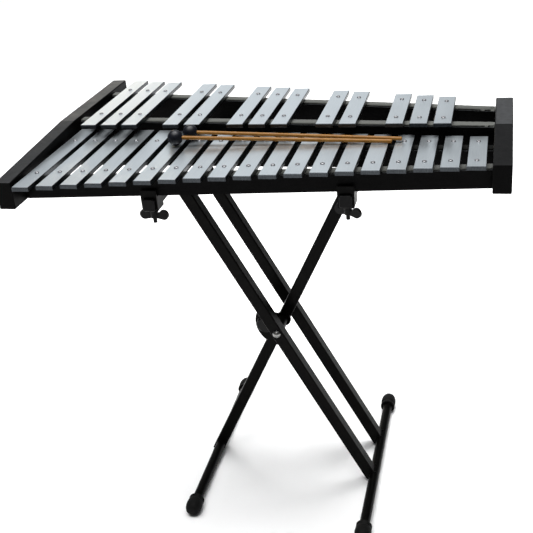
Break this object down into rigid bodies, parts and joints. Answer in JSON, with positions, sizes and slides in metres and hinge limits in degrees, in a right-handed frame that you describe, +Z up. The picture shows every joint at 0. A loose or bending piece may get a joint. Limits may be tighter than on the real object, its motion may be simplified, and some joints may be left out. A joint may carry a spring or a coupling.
{
  "type": "bell kit on folding stand",
  "caption": "Metal-bar keyboard percussion on a folding X stand: tapered black frame with two rows of tuned bars, friction-locked legs, clamps and ball-headed mallets.",
  "frame": {"origin": "on the floor, below the middle of the instrument's length and depth", "axes": "+X along the keyboard from the long low bars to the short high ones, +Y from the player to the back, +Z up"},
  "size_m": [0.705, 0.4651, 0.6343],
  "materials": {
    "bar_metal": "satin silver lacquer",
    "black_wood": "satin black paint on board",
    "felt": "grey pressed felt",
    "black_screw": "rubbed dark oxide",
    "black_steel": "satin black powder coat",
    "black_rubber": "matt black rubber",
    "black_plastic": "moulded black plastic",
    "knob_plastic": "glossy black plastic",
    "zinc": "bright zinc plate",
    "wing_steel": "black coated zinc casting",
    "mallet_wood": "clear-lacquered light wood",
    "mallet_rubber": "dark navy hard rubber"
  },
  "bodies": {
    "outer_stand": {"outer_front_leg": "black_steel", "outer_back_leg": "black_steel", "outer_top_arm": "black_steel", "outer_arm_plugs": "black_plastic", "outer_arm_pad": "black_rubber", "outer_foot_bar": "black_steel", "outer_foot_caps": "black_rubber", "pivot_bolt_set": "zinc", "lock_plate": "black_steel"},
    "inner_stand": {"inner_leg": "black_steel", "inner_top_arm": "black_steel", "inner_arm_plugs": "black_plastic", "inner_arm_pad": "black_rubber", "inner_foot_bar": "black_steel", "inner_foot_caps": "black_rubber", "lock_link": "black_steel"},
    "lock_knob_body": {"lock_knob": "knob_plastic"},
    "left_clamp_body": {"left_clamp": "black_steel"},
    "left_wing_body": {"left_wing_screw": "wing_steel"},
    "right_clamp_body": {"right_clamp": "black_steel"},
    "right_wing_body": {"right_wing_screw": "wing_steel"},
    "keyboard": {"natural_bar_01": "bar_metal", "natural_bar_02": "bar_metal", "natural_bar_03": "bar_metal", "natural_bar_04": "bar_metal", "natural_bar_05": "bar_metal", "natural_bar_06": "bar_metal", "natural_bar_07": "bar_metal", "natural_bar_08": "bar_metal", "natural_bar_09": "bar_metal", "natural_bar_10": "bar_metal", "natural_bar_11": "bar_metal", "natural_bar_12": "bar_metal", "natural_bar_13": "bar_metal", "natural_bar_14": "bar_metal", "natural_bar_15": "bar_metal", "natural_bar_16": "bar_metal", "natural_bar_17": "bar_metal", "natural_bar_18": "bar_metal", "natural_bar_19": "bar_metal", "accidental_bars_1": "bar_metal", "accidental_bars_2": "bar_metal", "accidental_bars_3": "bar_metal", "accidental_bars_4": "bar_metal", "accidental_bars_5": "bar_metal", "left_end_board": "black_wood", "right_end_board": "black_wood", "natural_front_rail": "black_wood", "natural_back_rail": "black_wood", "accidental_front_rail": "black_wood", "accidental_back_rail": "black_wood", "natural_felt_strips": "felt", "accidental_felt_strips": "felt", "bar_screws": "black_screw", "bar_washers": "felt", "frame_screws": "black_screw"},
    "front_mallet": {"front_mallet_shaft": "mallet_wood", "front_mallet_head": "mallet_rubber"},
    "back_mallet": {"back_mallet_shaft": "mallet_wood", "back_mallet_head": "mallet_rubber"}
  },
  "joints": [
    {"name": "keyboard_lift", "type": "slide", "parent": "outer_stand", "child": "keyboard", "axis": [0, 0, 1], "range_m": [0, 0.25]},
    {"name": "stand_fold", "type": "hinge", "parent": "outer_stand", "child": "inner_stand", "pos_m": [-0.00525, 0, 0.2905], "axis": [0, -1, 0], "range_deg": [0, 48]},
    {"name": "lock_knob_turn", "type": "hinge", "parent": "inner_stand", "child": "lock_knob_body", "pos_m": [-0.03006, -0.045, 0.29355], "axis": [0, -1, 0], "continuous": true},
    {"name": "left_clamp_slide", "type": "slide", "parent": "outer_stand", "child": "left_clamp_body", "axis": [0, -1, 0], "range_m": [0, 0.02]},
    {"name": "left_wing_turn", "type": "hinge", "parent": "left_clamp_body", "child": "left_wing_body", "pos_m": [-0.14425, -0.16412, 0.54], "axis": [0, 0, 1], "continuous": true},
    {"name": "right_clamp_slide", "type": "slide", "parent": "inner_stand", "child": "right_clamp_body", "axis": [0, -1, 0], "range_m": [0, 0.02]},
    {"name": "right_wing_turn", "type": "hinge", "parent": "right_clamp_body", "child": "right_wing_body", "pos_m": [0.13375, -0.14244, 0.54], "axis": [0, 0, 1], "continuous": true},
    {"name": "front_mallet_lift", "type": "slide", "parent": "keyboard", "child": "front_mallet", "axis": [0, 0, 1], "range_m": [0, 0.15]},
    {"name": "back_mallet_lift", "type": "slide", "parent": "keyboard", "child": "back_mallet", "axis": [0, 0, 1], "range_m": [0, 0.15]}
  ],
  "couplings": [
    {"joint": "stand_fold", "follows": "keyboard_lift", "rad_per_m": 3.35}
  ]
}
